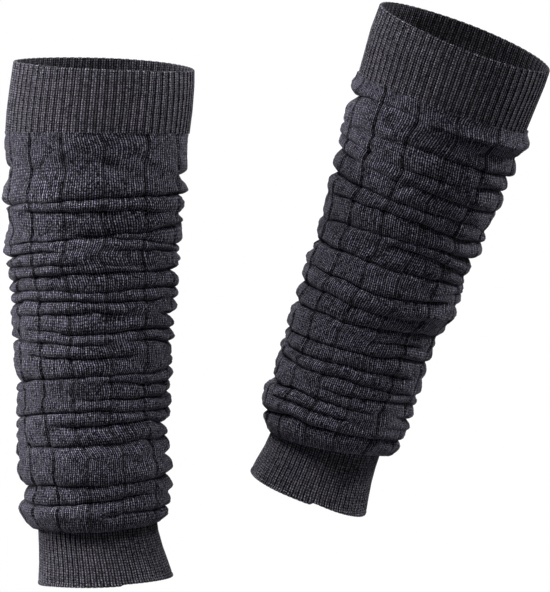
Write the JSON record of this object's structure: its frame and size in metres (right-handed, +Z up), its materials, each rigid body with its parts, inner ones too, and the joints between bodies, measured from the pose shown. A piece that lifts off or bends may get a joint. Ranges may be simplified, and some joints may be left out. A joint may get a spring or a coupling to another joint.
{
  "type": "pair of leg warmers",
  "caption": "Pair of scrunched knit leg warmers, each an open tube with a ribbed cuff at the calf and a tighter ribbed cuff at the ankle.",
  "frame": {"origin": "middle of the left leg warmer's top cuff, on its axis, where the calf holds it", "axes": "+Z up along the left leg warmer, +X from the left leg warmer to the right one, -Y towards the viewer"},
  "size_m": [0.372, 0.1391, 0.398],
  "materials": {
    "cuff_rib": "soft narrow rib knit, dark grey melange",
    "body_knit": "soft plain knit panels between narrow grooves, dark grey melange"
  },
  "bodies": {
    "root": {"left_top_cuff": "cuff_rib", "left_body": "body_knit", "left_ankle_cuff": "cuff_rib", "right_top_cuff": "cuff_rib", "right_body_upper": "body_knit", "right_body_lower": "body_knit", "right_ankle_cuff": "cuff_rib"}
  },
  "joints": []
}
